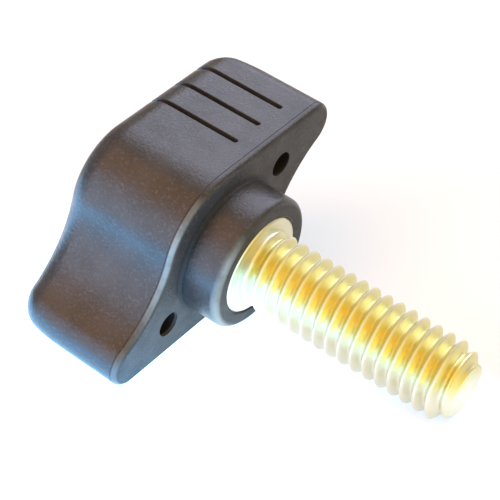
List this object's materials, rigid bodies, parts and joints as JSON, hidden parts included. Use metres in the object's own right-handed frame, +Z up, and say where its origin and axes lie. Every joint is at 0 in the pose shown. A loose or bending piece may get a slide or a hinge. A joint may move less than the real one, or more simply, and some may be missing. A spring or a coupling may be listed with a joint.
{
  "type": "wing screw",
  "caption": "Right-hand threaded stud moulded into an S-shaped plastic wing knob with grip grooves, for tightening a clamp or cover by hand.",
  "frame": {"origin": "centre of the screw's footprint box, on the table it lies on", "axes": "+Z up from the table, +X along the stud towards its end, as it runs over the table, and +Y towards the wing that stands clear of the table"},
  "size_m": [0.0426, 0.0316, 0.0202],
  "materials": {
    "black_plastic": "satin moulded black plastic with a fine grain",
    "yellow_zinc_steel": "yellow-passivated zinc plating on turned steel"
  },
  "bodies": {
    "root": {"wing_knob": "black_plastic", "threaded_stud": "yellow_zinc_steel"}
  },
  "joints": []
}
